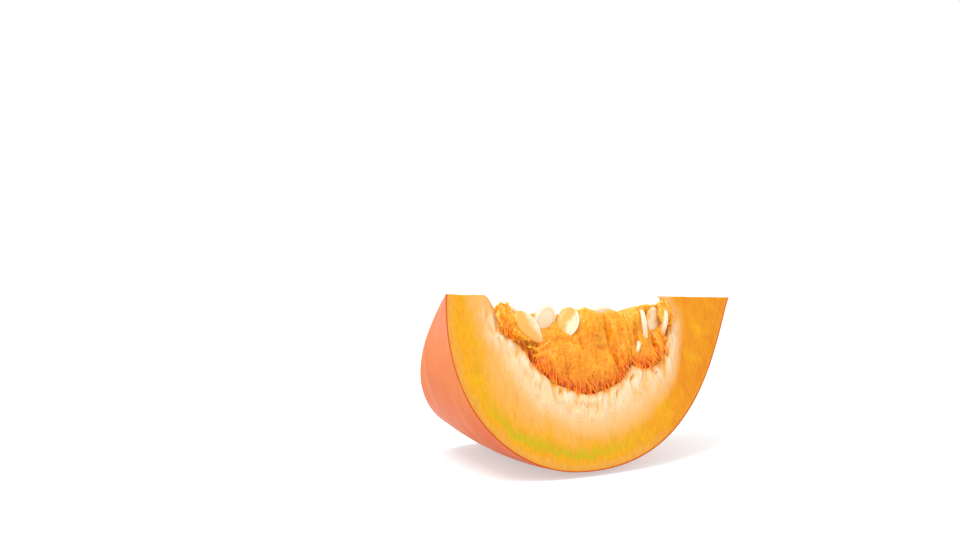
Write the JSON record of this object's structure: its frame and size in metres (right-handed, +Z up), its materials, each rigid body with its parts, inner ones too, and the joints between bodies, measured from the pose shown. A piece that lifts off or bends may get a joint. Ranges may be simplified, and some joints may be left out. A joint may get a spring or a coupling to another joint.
{
  "type": "pumpkin slice",
  "caption": "Wedge of ripe winter pumpkin cut from end to end, lying on its rind, with stringy pulp and seeds in its open hollow.",
  "frame": {"origin": "on the surface the slice rests on, under the middle of its bounding box", "axes": "+X along the fruit from the blossom end to the stem end, the longest way; -Y towards the front cut face; +Z up"},
  "size_m": [0.1894, 0.1054, 0.0998],
  "materials": {
    "flesh_and_rind": "satin",
    "pulp": "gloss",
    "seed": "satin"
  },
  "bodies": {
    "root": {"flesh_and_rind": "flesh_and_rind", "pulp_main": "pulp", "pulp_stem_end": "pulp", "seed_01": "seed", "seed_02": "seed", "seed_03": "seed", "seed_04": "seed", "seed_05": "seed", "seed_06": "seed", "seed_07": "seed", "seed_08": "seed", "seed_09": "seed", "seed_10": "seed", "seed_11": "seed", "seed_12": "seed", "seed_13": "seed", "seed_14": "seed"}
  },
  "joints": []
}
